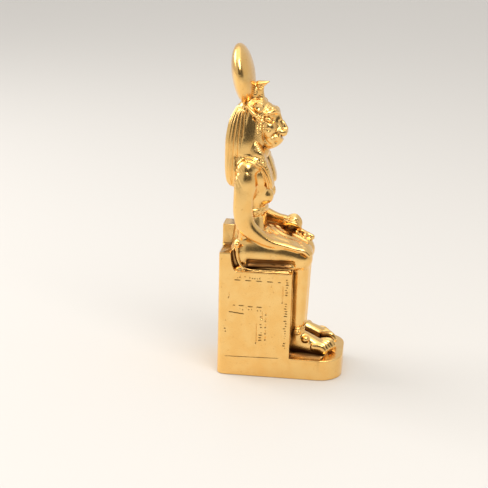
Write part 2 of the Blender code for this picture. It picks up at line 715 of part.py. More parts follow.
def make_carving():
    """The cutter for the lines on the throne's sides."""
    bm = bmesh.new()
    line_gap = GROOVE_WIDTH
    border_low = THRONE_DEPTH - BORDER_WIDTH
    border_top = THRONE_HEIGHT - BORDER_WIDTH
    foot = 1.5 * line_gap
    add_groove(bm, (PANEL_MARGIN, -line_gap / 2), (border_low + line_gap, line_gap / 2))
    add_groove(bm, (border_low, foot), (border_low + line_gap, border_top))
    add_rungs(bm, (border_low + 2 * line_gap, foot), (THRONE_DEPTH - line_gap, border_top), RUNG_PITCH)
    top_start = LOW_BACK_DEPTH + line_gap
    add_groove(bm, (top_start, border_top - line_gap), (border_low - line_gap, border_top))
    add_rungs(
        bm,
        (top_start, border_top + line_gap),
        (border_low - line_gap, THRONE_HEIGHT - line_gap),
        1.4 * RUNG_PITCH,
        upright=True,
    )
    left = PANEL_MARGIN
    right = PANEL_MARGIN + PANEL_LENGTH
    top = foot + PANEL_HEIGHT
    inner = right - PANEL_BORDER
    inner_top = top - PANEL_BORDER
    add_groove(bm, (left, top), (right, top + line_gap))
    add_groove(bm, (right, foot), (right + line_gap, top + line_gap))
    add_groove(bm, (left, foot), (left + line_gap, top - line_gap))
    add_groove(bm, (left + 2 * line_gap, inner_top), (inner, inner_top + line_gap))
    add_groove(bm, (inner, foot), (inner + line_gap, inner_top + line_gap))
    add_rungs(bm, (inner + 2 * line_gap, foot), (right - line_gap, inner_top), RUNG_PITCH)
    add_rungs(
        bm,
        (left + 2 * line_gap, inner_top + 2 * line_gap),
        (right - line_gap, top - line_gap),
        RUNG_PITCH,
        upright=True,
    )
    return new_object("carving", bm)


def fill_hidden_gaps(obj):
    """Removes the small shells that are left inside where forms meet: all but the largest body."""
    bm = bmesh.new()
    bm.from_mesh(obj.data)
    unseen = set(bm.verts)
    shells = []
    while unseen:
        shell = {unseen.pop()}
        edge_of_shell = list(shell)
        while edge_of_shell:
            vert = edge_of_shell.pop()
            for other in (edge.other_vert(vert) for edge in vert.link_edges):
                if other in unseen:
                    unseen.remove(other)
                    shell.add(other)
                    edge_of_shell.append(other)
        shells.append(shell)
    shells.sort(key=len)
    for shell in shells[:-1]:
        bmesh.ops.delete(bm, geom=list(shell), context="VERTS")
    bm.to_mesh(obj.data)
    bm.free()


def gold_finish():
    material = bpy.data.materials.new("gold_finish")
    material.use_nodes = True
    shader = material.node_tree.nodes["Principled BSDF"]
    shader.inputs["Base Color"].default_value = (0.83, 0.55, 0.22, 1)
    shader.inputs["Metallic"].default_value = 1.0
    shader.inputs["Roughness"].default_value = 0.28
    return material


def main():
    for obj in list(bpy.data.objects):
        bpy.data.objects.remove(obj)
    statue = make_throne()
    combine(statue, make_base(), "UNION")
    combine(statue, make_carving(), "DIFFERENCE")
    for make in (make_cloth, make_pillar, make_body, make_head):
        combine(statue, make(), "UNION")
    fill_hidden_gaps(statue)
    statue.name = "seated_lioness_statue"
    statue.data.name = statue.name
    statue.data.materials.clear()
    statue.data.materials.append(gold_finish())
    statue.data.shade_smooth()
    statue.data.set_sharp_from_angle(angle=math.radians(35))


main()
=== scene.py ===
"""A gold-finished souvenir statuette: a lioness-headed goddess seated on a block throne."""

import math

import bmesh
import bpy
import numpy as np
from mathutils import Matrix, Vector
from mathutils.bvhtree import BVHTree


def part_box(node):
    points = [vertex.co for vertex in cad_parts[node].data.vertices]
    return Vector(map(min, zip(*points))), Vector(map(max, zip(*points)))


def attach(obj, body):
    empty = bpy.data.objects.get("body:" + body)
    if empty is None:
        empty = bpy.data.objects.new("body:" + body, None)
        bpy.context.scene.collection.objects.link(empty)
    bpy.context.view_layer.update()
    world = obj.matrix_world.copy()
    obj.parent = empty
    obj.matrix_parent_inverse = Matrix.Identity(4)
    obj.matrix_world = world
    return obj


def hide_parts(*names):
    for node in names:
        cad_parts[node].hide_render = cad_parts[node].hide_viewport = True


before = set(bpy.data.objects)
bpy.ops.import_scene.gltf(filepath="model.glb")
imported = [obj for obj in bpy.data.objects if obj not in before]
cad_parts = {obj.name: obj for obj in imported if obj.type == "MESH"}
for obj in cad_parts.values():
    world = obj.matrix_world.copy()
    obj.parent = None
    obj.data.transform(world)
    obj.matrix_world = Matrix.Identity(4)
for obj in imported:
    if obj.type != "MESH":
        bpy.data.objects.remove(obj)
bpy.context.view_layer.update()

# The block: base, throne, seat cloth and the slab behind the figure
# The lower half of the casting is plain blocks: a base with round front corners, a throne as wide
# as it, a low back and a taller slab. All of it comes out of one two-part mould, so every edge is
# soft, and the figure above is modelled with the same tools and joined to it.

NODE = "seated_lioness_statue"
LOW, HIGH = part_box(NODE)
UNIT = (HIGH.z - LOW.z) / 100.5          # the statue stands 100.5 units high
HALF_WIDTH = (HIGH.x - LOW.x) / 2 / UNIT
FRONT = 40.0
REAR = 1.5
BASE_TOP = 6.4
SEAT_TOP = 33.6
THRONE_FRONT = 23.9
BACK_TOP = 39.3
BACK_DEPTH = 5.2
BACK_CURVE = 2.2
FRONT_RADIUS = 7.5
REAR_RADIUS = 2.4
CLOTH_INSET = 2.8
CLOTH_THICKNESS = 0.75
CLOTH_FRONT_EDGE = 0.7
SLAB_HALF_WIDTH = 3.3
SLAB_FRONT = 8.0
SLAB_FOOT = 20.0
SLAB_TOP = 45.6
RING_POINTS = 48
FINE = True
BLOCK_VOXEL = 0.17 if FINE else 0.34
BODY_VOXEL = 0.20 if FINE else 0.34
HEAD_VOXEL = 0.145 if FINE else 0.24
SMOOTHING_VOXEL = 0.25
NEAR_ROUNDS = 40


def at(x, forward, up):
    """A place in units: across, forward from the throne's rear, and up from the table."""
    return Vector((x, -forward, up))


def oval(centre, across, upward, wide, high, power=2.0):
    """A ring of points: an oval, squarer as its power grows."""
    ring = []
    for step in range(RING_POINTS):
        angle = 2 * math.pi * step / RING_POINTS
        c = math.cos(angle)
        s = math.sin(angle)
        to_side = math.copysign(abs(c) ** (2 / power), c) * wide
        to_top = math.copysign(abs(s) ** (2 / power), s) * high
        ring.append(centre + across * to_side + upward * to_top)
    return ring


def skin(bm, rings):
    """A closed form through rings of points."""
    rows = [[bm.verts.new(point) for point in ring] for ring in rings]
    for low, high in zip(rows, rows[1:]):
        for k in range(len(low)):
            after = (k + 1) % len(low)
            bm.faces.new((low[k], low[after], high[after], high[k]))
    bm.faces.new(rows[0])
    bm.faces.new(rows[-1])


def smooth_run(values, steps=6):
    """Vectors on a smooth curve through the given ones."""
    run = [values[0]]
    for k in range(len(values) - 1):
        before = values[max(k - 1, 0)]
        start = values[k]
        end = values[k + 1]
        after = values[min(k + 2, len(values) - 1)]
        for step in range(1, steps + 1):
            t = step / steps
            bend = (2 * before - 5 * start + 4 * end - after) * t * t
            turn = (3 * start - before - 3 * end + after) * t * t * t
            run.append(start + ((end - before) * t + bend + turn) / 2)
    return run


def stack(bm, levels, power=2.2):
    """An upright form of level ovals: (up, rear, front, half width)."""
    rings = []
    for up, rear, front, half in smooth_run([Vector(level) for level in levels], 3):
        centre = at(0, (rear + front) / 2, up)
        deep = (front - rear) / 2
        rings.append(oval(centre, Vector((1, 0, 0)), Vector((0, -1, 0)), half, deep, power))
    skin(bm, rings)


def limb(bm, places, sizes, across=Vector((1, 0, 0)), power=2.0):
    """A round-ended tube on a smooth curve, with (half width, half height) at each place."""
    path = smooth_run(places)
    widths = smooth_run([Vector((*size, 0)) for size in sizes])
    rings = []
    for k, (place, (wide, high, _)) in enumerate(zip(path, widths)):
        along = (path[min(k + 1, len(path) - 1)] - path[max(k - 1, 0)]).normalized()
        side = (across - along * across.dot(along)).normalized()
        upward = along.cross(side)
        turns = (0,)
        if k == 0:
            turns = (-80, -65, -45, -25, 0)
        elif k == len(path) - 1:
            turns = (0, 25, 45, 65, 80)
        for turn in turns:
            swell = math.cos(math.radians(turn))
            centre = place + along * min(wide, high) * math.sin(math.radians(turn))
            rings.append(oval(centre, side, upward, wide * swell, high * swell, power))
    skin(bm, rings)


def ball(bm, centre, half_sizes):
    """An ellipsoid, with its half sizes across, forward and up."""
    wide, deep, high = half_sizes
    rings = []
    for step in range(17):
        angle = math.pi * (step / 16 - 0.5)
        swell = max(math.cos(angle), 0.03)
        level = Vector((0, 0, high * math.sin(angle)))
        ring = oval(level, Vector((1, 0, 0)), Vector((0, 1, 0)), wide * swell, deep * swell)
        rings.append([centre + point for point in ring])
    skin(bm, rings)


def extrude(bm, outline, direction):
    """A closed prism: a flat outline drawn out by a vector."""
    face = bm.faces.new([bm.verts.new(point) for point in outline])
    made = bmesh.ops.extrude_face_region(bm, geom=[face])
    moved = [item for item in made["geom"] if isinstance(item, bmesh.types.BMVert)]
    bmesh.ops.translate(bm, verts=moved, vec=direction)


def mirrored(form):
    """A form made on the right side and on the left side."""
    return lambda bm: [form(bm, side) for side in (-1, 1)]


def side_profile(raise_by=0.0):
    """The throne's outline from the side: its low back curves down to the seat."""
    outline = [(THRONE_FRONT, SEAT_TOP + raise_by)]
    for step in range(13):
        angle = math.pi / 2 * step / 12
        forward = BACK_DEPTH + raise_by + BACK_CURVE * (1 - math.sin(angle))
        rise = (BACK_TOP - SEAT_TOP) * (1 - math.cos(angle))
        outline.append((forward, SEAT_TOP + raise_by + rise))
    return outline


def add_base(bm):
    """A slab whose plan has round corners, larger at the front."""
    outline = []
    for x, f, radius, start in (
        (HALF_WIDTH, FRONT, FRONT_RADIUS, -90),
        (HALF_WIDTH, REAR, REAR_RADIUS, 0),
        (-HALF_WIDTH, REAR, REAR_RADIUS, 90),
        (-HALF_WIDTH, FRONT, FRONT_RADIUS, 180),
    ):
        inward = -radius if f == FRONT else radius
        centre = at(x - math.copysign(radius, x), f + inward, 0)
        for step in range(17):
            angle = math.radians(start + 90 * step / 16)
            outline.append(centre + radius * Vector((math.cos(angle), math.sin(angle), 0)))
    extrude(bm, outline, (0, 0, BASE_TOP))


def add_throne(bm):
    """The block with its low back, its rear upright edges rounded."""
    lower = bmesh.new()
    outline = [(REAR, 1.0), (THRONE_FRONT, 1.0)] + side_profile()
    outline += [(REAR + 0.5, BACK_TOP), (REAR, BACK_TOP - 0.5)]
    extrude(lower, [Vector((-HALF_WIDTH, -f, z)) for f, z in outline], (2 * HALF_WIDTH, 0, 0))
    rear = []
    for edge in lower.edges:
        first, second = edge.verts
        on_rear = abs(first.co.y + REAR) + abs(second.co.y + REAR) < 0.1
        if on_rear and abs(first.co.x - second.co.x) < 0.01:
            rear.append(edge)
    bmesh.ops.bevel(lower, geom=rear, offset=REAR_RADIUS, segments=6, affect="EDGES", profile=0.5)
    add_mesh(bm, lower)


def add_mesh(bm, other):
    """Adds a finished bmesh to another and frees it."""
    mesh = bpy.data.meshes.new("form")
    other.to_mesh(mesh)
    other.free()
    bm.from_mesh(mesh)
    bpy.data.meshes.remove(mesh)


def add_cloth(bm):
    """The cloth on the seat, which turns up the low back."""
    half = HALF_WIDTH - CLOTH_INSET
    front = THRONE_FRONT - CLOTH_FRONT_EDGE
    in_back = BACK_DEPTH - 1.5
    below_seat = SEAT_TOP - 4
    outline = side_profile(CLOTH_THICKNESS)
    outline[0] = (front, SEAT_TOP + CLOTH_FRONT_EDGE)
    outline += [(in_back, BACK_TOP - 1.0), (in_back, below_seat), (front, below_seat)]
    extrude(bm, [Vector((-half, -f, z)) for f, z in outline], (2 * half, 0, 0))


def add_slab(bm):
    """The slab behind the figure, which reaches forward into its back."""
    matrix = Matrix.Translation(at(0, (REAR + SLAB_FRONT) / 2, (SLAB_TOP + SLAB_FOOT) / 2))
    size = (2 * SLAB_HALF_WIDTH, SLAB_FRONT - REAR, SLAB_TOP - SLAB_FOOT)
    bmesh.ops.create_cube(bm, size=1, matrix=matrix @ Matrix.Diagonal((*size, 1)))


def apply_all(obj):
    """Applies the object's modifiers."""
    bpy.ops.object.select_all(action="DESELECT")
    obj.select_set(True)
    bpy.context.view_layer.objects.active = obj
    for modifier in list(obj.modifiers):
        bpy.ops.object.modifier_apply(modifier=modifier.name)


def places_of(mesh):
    points = np.empty(len(mesh.vertices) * 3)
    mesh.vertices.foreach_get("co", points)
    return points.reshape(-1, 3)


def normals_of(mesh):
    normals = np.empty(len(mesh.vertices) * 3)
    mesh.vertices.foreach_get("normal", normals)
    return normals.reshape(-1, 3)


def relax(obj, rounds, near=None):
    """Smooths the object, or only the places where near(across, forward, up) is over 0."""
    smooth = obj.modifiers.new("soft", "SMOOTH")
    smooth.iterations = rounds
    if near:
        group = obj.vertex_groups.new(name="near")
        x, y, z = places_of(obj.data).T
        weights = near(x, -y, z)
        for index in np.flatnonzero(weights > 0.01):
            group.add([int(index)], float(weights[index]), "REPLACE")
        smooth.vertex_group = group.name
    apply_all(obj)


def clay(name, stages, voxel, near=None):
    """Joins closed forms to one body, stage by stage, and smooths it most where near() says.

    Each stage is (forms, rounds of smoothing), with the rounds for a voxel of SMOOTHING_VOXEL.
    """
    obj = None
    for forms, rounds in stages:
        bm = bmesh.new()
        if obj:
            bm.from_mesh(obj.data)
        for form in forms:
            form(bm)
        if not obj:
            bmesh.ops.recalc_face_normals(bm, faces=bm.faces[:])
            obj = bpy.data.objects.new(name, bpy.data.meshes.new(name))
            bpy.context.scene.collection.objects.link(obj)
        bm.to_mesh(obj.data)
        bm.free()
        remesh = obj.modifiers.new("one_body", "REMESH")
        remesh.mode = "VOXEL"
        remesh.voxel_size = voxel
        apply_all(obj)
        relax(obj, max(round(rounds * (SMOOTHING_VOXEL / voxel) ** 2), 1))
        if near and forms is stages[0][0]:
            relax(obj, round(NEAR_ROUNDS * (SMOOTHING_VOXEL / voxel) ** 2), near)
    return obj


def carve(obj, depth_at):
    """Moves each point in by depth_at(across, forward, up, normals), and returns those depths."""
    mesh = obj.data
    points = places_of(mesh)
    normals = normals_of(mesh)
    depth = depth_at(points[:, 0], -points[:, 1], points[:, 2], normals)
    points -= normals * depth[:, None]
    mesh.vertices.foreach_set("co", points.ravel())
    mesh.update()
    return depth


def band(value, low, high, soft=0.3):
    """1 between two limits, falling to 0 over a soft edge inside them."""
    return np.clip((value - low) / soft, 0, 1) * np.clip((high - value) / soft, 0, 1)


def line(distance, half_width):
    """A round-bottomed groove: 1 on the line, 0 at its half width."""
    return np.clip(1 - (distance / half_width) ** 2, 0, 1)


def waves(value, pitch):
    """0 on the crests and 1 in the grooves of a row of ridges."""
    return 0.5 - 0.5 * np.cos(value * 2 * math.pi / pitch)


def dashes(value, closeness, gain, share):
    """1 on the dashes of a worn, broken line and 0 between them."""
    return np.clip(gain * np.sin(closeness * value) + share, 0, 1)


def strokes(f, z, low, high, pitch, seed, upright=True):
    """A row of short worn strokes, none of them a letter, between two (forward, up) corners."""
    rng = np.random.default_rng(seed)
    depth = np.zeros_like(f)
    along, cross = (f, z) if upright else (z, f)
    start, end = (low[0], high[0]) if upright else (low[1], high[1])
    bottom, top = (low[1], high[1]) if upright else (low[0], high[0])
    for place in np.arange(start + pitch / 2, end, pitch):
        lean, rise, drop, deep, skip = rng.random(5)
        a = bottom + (top - bottom) * 0.45 * drop
        b = top - (top - bottom) * 0.35 * rise
        if skip < 0.14:
            continue
        centre = place + (cross - (a + b) / 2) * 0.2 * (lean - 0.5)
        depth += (0.5 + 0.5 * deep) * line(along - centre, 0.22) * band(cross, a, b, 0.2)
    return depth


def side_marks(f, z):
    """Worn marks on the throne's sides: a foot line, borders with rows of strokes, a corner panel."""
    front = THRONE_FRONT - 2.6
    depth = 0.12 * line(z - 6.2 - 0.022 * (f - 3.9), 0.2) * band(f, 3.6, 21.2, 0.8)
    depth += 0.34 * line(f - front, 0.24) * band(z, 24.4, 30.0)
    depth += 0.29 * strokes(f, z, (21.7, 25.2), (23.2, 32.8), 0.8, 3, upright=False)
    depth += 0.22 * strokes(f, z, (21.5, 9.6), (23.1, 25.2), 0.8, 4, upright=False)
    depth += 0.19 * line(z - 31.15, 0.2) * band(f, 6.0, 20.8) * dashes(f, 1.9, 1.6, 0.6)
    depth += 0.31 * strokes(f, z, (6.4, 31.4), (15.0, 33.0), 0.75, 5)
    depth += 0.36 * line(f - 4.9, 0.24) * band(z, 25.0, 27.0)
    depth += 0.26 * strokes(f, z, (3.4, 13.0), (4.5, 18.0), 0.9, 7, upright=False)
    step = 0.2 * band(f, 10.9, 17, 0.1)
    depth += 0.21 * line(z - 23.0 + step, 0.2) * band(f, 6.2, 16.1) * dashes(f, 2.3, 2.2, 1.1)
    depth += 0.19 * line(z - 20.8 + 0.1 * (f - 5), 0.2) * band(f, 4.9, 9.9)
    depth += 0.36 * line(f - 15.3, 0.24) * band(z, 18.6, 21.4)
    depth += 0.34 * line(f - 16.4, 0.24) * band(z, 11.2, 21.2) * dashes(z, 3.1, 1.8, 0.8)
    depth += 0.36 * line(f - 13.55, 0.24) * band(z, 10.7, 17.4)
    depth += 0.22 * strokes(f, z, (8.0, 21.3), (14.8, 22.5), 0.9, 11)
    depth += 0.26 * strokes(f, z, (14.2, 10.8), (15.8, 20.8), 0.85, 13, upright=False)
    return depth


def facing(part, limit=0.8, soft=0.15):
    """1 on faces that look along a direction, given that part of their normals."""
    return np.clip((part - limit) / soft, 0, 1)


def throne_depth(x, f, z, normals):
    """The sides' marks, a double frame on the back, and a line by each front edge."""
    side = np.abs(x)
    depth = side_marks(f, z) * facing(np.abs(normals[:, 0]))
    outer_frame = np.maximum(side - 9.2, np.maximum(z - 35.6, 9.6 - z))
    inner_frame = np.maximum(side - 7.6, np.maximum(z - 34.0, 11.2 - z))
    on_back = facing(normals[:, 1])
    depth += 0.18 * on_back * line(outer_frame, 0.24)
    depth += 0.14 * on_back * line(inner_frame, 0.2)
    on_front = facing(-normals[:, 1]) * band(f, 20, THRONE_FRONT + 0.3, 0.1)
    depth += 0.16 * on_front * line(side - 10.6, 0.2) * band(z, 7.4, 32.6)
    return depth


block = clay("block", [((add_base, add_throne, add_cloth, add_slab), 0.6)], BLOCK_VOXEL)
marks = carve(block, throne_depth)

# The figure's body
# A woman in a long plain dress, her right hand flat on the thigh and her left fist round a looped
# cross. On the real piece it is cast with the throne, and only the belt, hem and hands are sharp.

HEM_LINES = (15.0, 14.2)
ANKLE_BEAD = (25.7, 13.7)
ROSETTE = (15.1, 59.9)
PETALS = 6


def add_torso(bm):
    stack(
        bm,
        (
            (33.2, 4.0, 14.4, 8.4),
            (39.6, 4.0, 14.6, 8.2),
            (44.6, 4.6, 14.7, 6.9),
            (50.2, 5.0, 14.0, 5.8),
            (53.0, 5.0, 14.8, 6.2),
            (56.6, 5.0, 15.4, 7.2),
            (60.6, 5.2, 16.0, 8.4),
            (64.2, 5.6, 14.9, 8.2),
            (66.8, 6.4, 13.6, 6.8),
            (69.0, 7.2, 12.8, 4.6),
        ),
        power=2.7,
    )


def add_arm_web(bm):
    """What the mould leaves filled between the arms and the waist."""
    stack(bm, ((42.6, 6.4, 10.4, 9.0), (53.6, 6.4, 10.6, 8.8), (63.6, 6.6, 10.8, 8.4)), power=4.0)


def add_breast(bm, side):
    ball(bm, at(side * 3.2, 14.2, 55.4), (2.6, 2.6, 2.7))


def add_arm(bm, side, forearm, sizes):
    """A shoulder, an upper arm and a bent elbow, which runs on into a forearm."""
    ball(bm, at(side * 8.3, 8.7, 59.9), (3.7, 3.5, 6.3))
    places = [
        at(side * 8.0, 8.8, 63.0),
        at(side * 9.0, 8.5, 60.4),
        at(side * 9.7, 8.35, 56.0),
        at(side * 9.75, 8.35, 51.2),
        at(side * 9.7, 9.6, 47.2),
    ]
    arm_sizes = [(2.7, 2.9), (2.7, 3.1), (2.4, 3.0), (2.4, 2.95), (2.4, 2.8)]
    limb(bm, places + forearm, arm_sizes + sizes, power=2.5)


def near_armpit(x, f, z):
    """Where the arms' inner edges run softly into the chest."""
    return band(np.abs(x), 5.0, 12, 1.0) * band(f, 9.6, 14.0, 1.0) * band(z, 46.5, 66.0, 2.0)


def add_arms(bm):
    right = [at(-9.4, 13.0, 44.4), at(-8.9, 16.7, 42.4), at(-8.1, 19.9, 41.6)]
    add_arm(bm, -1, right, [(2.25, 2.1), (2.0, 1.5), (1.85, 1.15)])
    left = [at(9.3, 14.0, 45.9), at(8.5, 17.0, 45.2), at(7.4, 19.8, 45.0)]
    add_arm(bm, 1, left, [(2.2, 1.95), (1.9, 1.55), (1.75, 1.5)])


def add_right_hand(bm):
    """The flat hand, with its fingers forward on the knee and its thumb inward."""
    hand = [at(-8.1, 19.9, 41.6), at(-7.6, 22.7, 41.1), at(-7.2, 25.3, 40.4)]
    limb(bm, hand, [(1.8, 1.1), (2.3, 1.0), (2.5, 0.9)], power=2.4)
    for finger in range(4):
        x = -9.1 + 1.3 * finger
        tip = 28.5 + 0.5 * (1 - abs(finger - 1.6) / 1.6)
        places = [at(x, 24.9, 40.5), at(x * 0.98, 26.9, 40.1), at(x * 0.97, tip, 38.8)]
        limb(bm, places, [(0.72, 0.8), (0.68, 0.75), (0.55, 0.55)])
    thumb = [at(-5.9, 20.3, 41.6), at(-4.9, 22.7, 41.5), at(-4.6, 24.9, 40.8)]
    limb(bm, thumb, [(0.9, 0.9), (0.85, 0.8), (0.6, 0.55)])


def add_left_hand(bm):
    """The fist, with its four bent fingers and its thumb."""
    ball(bm, at(7.1, 21.5, 43.9), (2.3, 2.6, 2.3))
    for finger in range(4):
        x = 5.3 + 1.2 * finger
        places = [at(x, 20.4, 45.4), at(x, 22.3, 46.1), at(x, 23.7, 45.2)]
        places += [at(x, 24.3, 43.6), at(x, 23.6, 42.3)]
        limb(bm, places, [(0.52, 0.6), (0.56, 0.75), (0.58, 0.75), (0.56, 0.7), (0.5, 0.6)])
    thumb = [at(4.7, 19.8, 44.8), at(4.3, 21.8, 45.2), at(4.4, 23.6, 44.6), at(4.9, 24.6, 43.6)]
    limb(bm, thumb, [(0.85, 0.9), (0.8, 0.85), (0.7, 0.7), (0.5, 0.5)])


def add_cross(bm):
    """The looped cross: its stem and bar lie on the knee in front of the fist."""
    stem = [at(6.4, 23.6, 42.6), at(6.3, 26.1, 41.3), at(6.2, 28.4, 40.2)]
    limb(bm, stem, [(0.75, 0.85)] * 3, power=3.5)
    bar = [at(4.6, 26.1, 41.3), at(7.9, 26.3, 40.6)]
    limb(bm, bar, [(0.65, 0.8)] * 2, Vector((0, -1, 0)), 3.5)


def add_thigh(bm, side):
    places = [at(side * 5.5, 9.4, 38.0), at(side * 5.4, 16.0, 38.1)]
    places += [at(side * 5.2, 21.4, 37.5), at(side * 4.9, 25.4, 36.7)]
    limb(bm, places, [(5.2, 6.2), (5.1, 6.0), (4.8, 5.3), (4.3, 4.1)], power=2.1)


def add_shin(bm, side):
    places = [at(side * 4.3, 25.8, 35.6), at(side * 4.4, 25.5, 25.0), at(side * 4.5, 25.5, 15.8)]
    places += [at(side * 4.6, 25.7, 12.6), at(side * 4.6, 25.9, 8.4)]
    limb(bm, places, [(3.6, 3.0), (3.4, 2.9), (3.0, 2.6), (2.5, 2.3), (2.4, 2.4)])


def add_dress(bm):
    """The dress over the lap, and its fall between the shins."""
    lap = [at(0, 10.0, 38.4), at(0, 16.8, 38.4), at(0, 22.2, 37.0), at(0, 25.6, 36.6)]
    limb(bm, lap, [(4.6, 6.4), (4.6, 6.1), (4.4, 4.8), (4.2, 3.7)], power=3.0)
    fall = [at(0, 25.5, 37.0), at(0, 25.1, 25.0), at(0, 24.7, 15.2)]
    limb(bm, fall, [(4.4, 2.7), (4.3, 2.2), (4.2, 1.9)], power=3.2)


def add_foot(bm, side):
    profile = (
        (24.3, 4.6, 2.3, 6.4),
        (27.1, 4.7, 2.5, 6.6),
        (29.1, 4.8, 2.6, 5.8),
        (31.0, 5.0, 2.8, 4.9),
        (32.6, 5.1, 3.1, 4.2),
        (33.8, 5.1, 3.0, 3.5),
    )
    places = [at(side * x, f, BASE_TOP + top / 2 - 0.3) for f, x, _, top in profile]
    limb(bm, places, [(half, top / 2 + 0.3) for _, _, half, top in profile], power=2.6)


def add_toes(bm, side):
    """Five toes, the foot's inner edge, the ankle bone and the bead above it."""
    for toe in range(5):
        inward = 1 - toe / 4
        tip = 37.6 - 0.62 * toe
        size = 0.62 + 0.33 * inward ** 3
        x = side * (2.6 + 1.36 * toe)
        places = [at(x, tip - 4.4, 9.2), at(x, tip - 2.0, 9.0 + 0.3 * inward), at(x, tip - 0.75, 7.9)]
        limb(bm, places, [(size * 0.9, 1.1), (size, 1.25), (size, 1.05 + 0.1 * inward)])
    limb(bm, [at(side * 2.9, 31.0, 8.3), at(side * 2.9, 35.6, 8.0)], [(0.9, 1.5), (0.9, 1.3)])
    ball(bm, at(side * 7.0, 28.4, 11.2), (1.0, 1.2, 1.1))
    ball(bm, at(side * 7.3, *ANKLE_BEAD), (0.7, 1.1, 1.1))


def add_forearm_web(bm):
    """The dress fills the gap under the left forearm."""
    fold = [at(8.4, 13.0, 43.2), at(8.0, 17.0, 43.0), at(7.2, 21.0, 42.4)]
    limb(bm, fold, [(1.5, 2.6), (1.5, 2.2), (1.4, 1.8)])


def add_seat_roll(bm, side):
    """The rolled edge of the seat's cloth, from a knob behind the elbow down and along the seat."""
    places = [
        at(side * 10.6, 6.8, 41.4),
        at(side * 10.8, 6.9, 39.2),
        at(side * 10.9, 7.4, 36.8),
        at(side * 10.9, 8.6, 34.9),
        at(side * 10.7, 11.0, 33.9),
        at(side * 10.3, 16.0, 33.75),
        at(side * 10.1, 22.6, 33.7),
    ]
    ball(bm, at(side * 10.4, 8.2, 33.9), (1.0, 1.8, 1.0))
    limb(bm, places, [(0.7, 0.55), (0.7, 0.5), (0.6, 0.45), (0.5, 0.4)] + [(0.4, 0.28)] * 3)
    ball(bm, at(side * 10.8, 6.8, 41.7), (1.0, 0.95, 0.95))


def add_belt(bm):
    lower_edge = ((49.2, 5.0, 14.3, 6.0), (49.6, 4.8, 14.8, 6.3))
    upper_edge = ((51.1, 4.8, 15.0, 6.4), (51.5, 5.0, 14.6, 6.1))
    stack(bm, lower_edge + upper_edge)


def dress_depth(x, f, z, normals):
    """Hem lines above the ankles, shallow folds over the lap, and the recess between thigh and seat."""
    upper, lower = HEM_LINES
    hem = line(z - upper, 0.22) + line(z - lower, 0.2)
    depth = 0.20 * hem * band(f, THRONE_FRONT + 0.2, 99)
    on_lap = band(normals[:, 2], 0.1, 9) * band(f, 14.2, 28.0, 2.0)
    on_lap = on_lap * band(z, 38, 46) * band(x, -6.4, 6.4, 0.8)
    fold = 0.961 * z + 0.276 * x + 0.445 * f
    depth += 0.20 * on_lap * waves(fold + 0.25 * np.sin(0.7 * f), 0.95)
    depth += band(f, 9.5, 24.6, 1.2) * band(z, 34.7, 37.2, 0.5) * (np.abs(x) > 5)
    return depth


def ornament_depth(x, f, z):
    """The belt's cells and its worn buckle, a rosette at the breast, and the bead above the ankle."""
    side = np.abs(x)
    belt = band(z, 49.3, 51.4, 0.15) * band(f, 4, 99) * band(-side, -7.4, 9)
    depth = 0.16 * belt * waves(np.arctan2(x, f - 9.0), 0.24) * waves(z - 49.3, 1.05)
    buckle = band(z, 48.0, 51.8, 0.4) * band(f, 12.2, 15.6, 0.3) * band(side, 2.5, 7.5)
    depth += 0.12 * buckle * waves(z + 0.6 * f, 0.95) * waves(z - 0.9 * f, 1.2)
    forward = f - ROSETTE[0]
    up = z - ROSETTE[1]
    from_rosette = np.hypot(forward, up)
    petals = waves(np.arctan2(up, forward), 2 * math.pi / PETALS)
    rosette = band(side, 3.2, 8) * line(from_rosette, 1.2)
    cut = 0.12 * petals + 0.14 * line(from_rosette - 0.45, 0.2)
    depth += rosette * cut - 0.12 * rosette
    from_bead = np.hypot(f - ANKLE_BEAD[0], z - ANKLE_BEAD[1])
    depth += 0.25 * band(side, 6.6, 9) * (line(from_bead - 0.7, 0.22) + line(from_bead, 0.3))
    return depth


def tress_depth(x, f, z):
    """The braid that falls over each shoulder, on the shoulder itself."""
    tress = band(np.abs(x), 6, 13) * band(f, 4.8, 8.4, 0.8) * band(z, 59.0, 66.2, 1.0)
    return 0.12 * tress * waves(0.5 * z + 0.85 * f, 0.95)


def body_depth(x, f, z, normals):
    """All that is cut into the body."""
    return dress_depth(x, f, z, normals) + ornament_depth(x, f, z) + tress_depth(x, f, z)


soft_body = (
    add_torso,
    add_arm_web,
    mirrored(add_breast),
    add_arms,
    add_dress,
    mirrored(add_thigh),
    mirrored(add_shin),
    mirrored(add_foot),
    add_forearm_web,
)
crisp_body = (
    add_belt,
    add_right_hand,
    add_left_hand,
    add_cross,
    mirrored(add_toes),
    mirrored(add_seat_roll),
)
body = clay("body", [(soft_body, 16), (crisp_body, 1.5)], BODY_VOXEL, near_armpit)
carve(body, body_depth)

# The head: wig, lioness's face, sun disc and cobra
# The finest part of the casting. The wig's strands fall behind, its lappets come forward over the
# chest, a ruff of fur frames the muzzle, and the disc stands on the crown behind a rearing cobra.

DISC_CENTRE = at(0, 6.1, 91.42)
DISC_RADIUS = 9.15
DISC_REAR_BULGE = 3.05
DISC_FRONT_BULGE = 3.5
DISC_LEAN = math.radians(9.8)
WIG_STRANDS = 37
WIG_MIDDLE = 8.0
SHOULDER_NOTCH = (8.0, 67.5)
MOUTH = (16.9, 74.2)
CHIN_PIT = (16.8, 71.6)
CHEEK_PIT = (14.8, 75.8)
EYE = (14.6, 78.75)
EAR = (11.9, 82.6)
NOSE_SIDE = (18.55, 76.8)
# The lappets' rear edge in the side view, as (forward, up)
LAPPET_EDGE = (
    (9.0, 67.1),
    (9.9, 67.0),
    (11.5, 66.2),
    (13.5, 64.5),
    (14.9, 62.3),
    (15.7, 60.1),
    (15.9, 57.8),
)


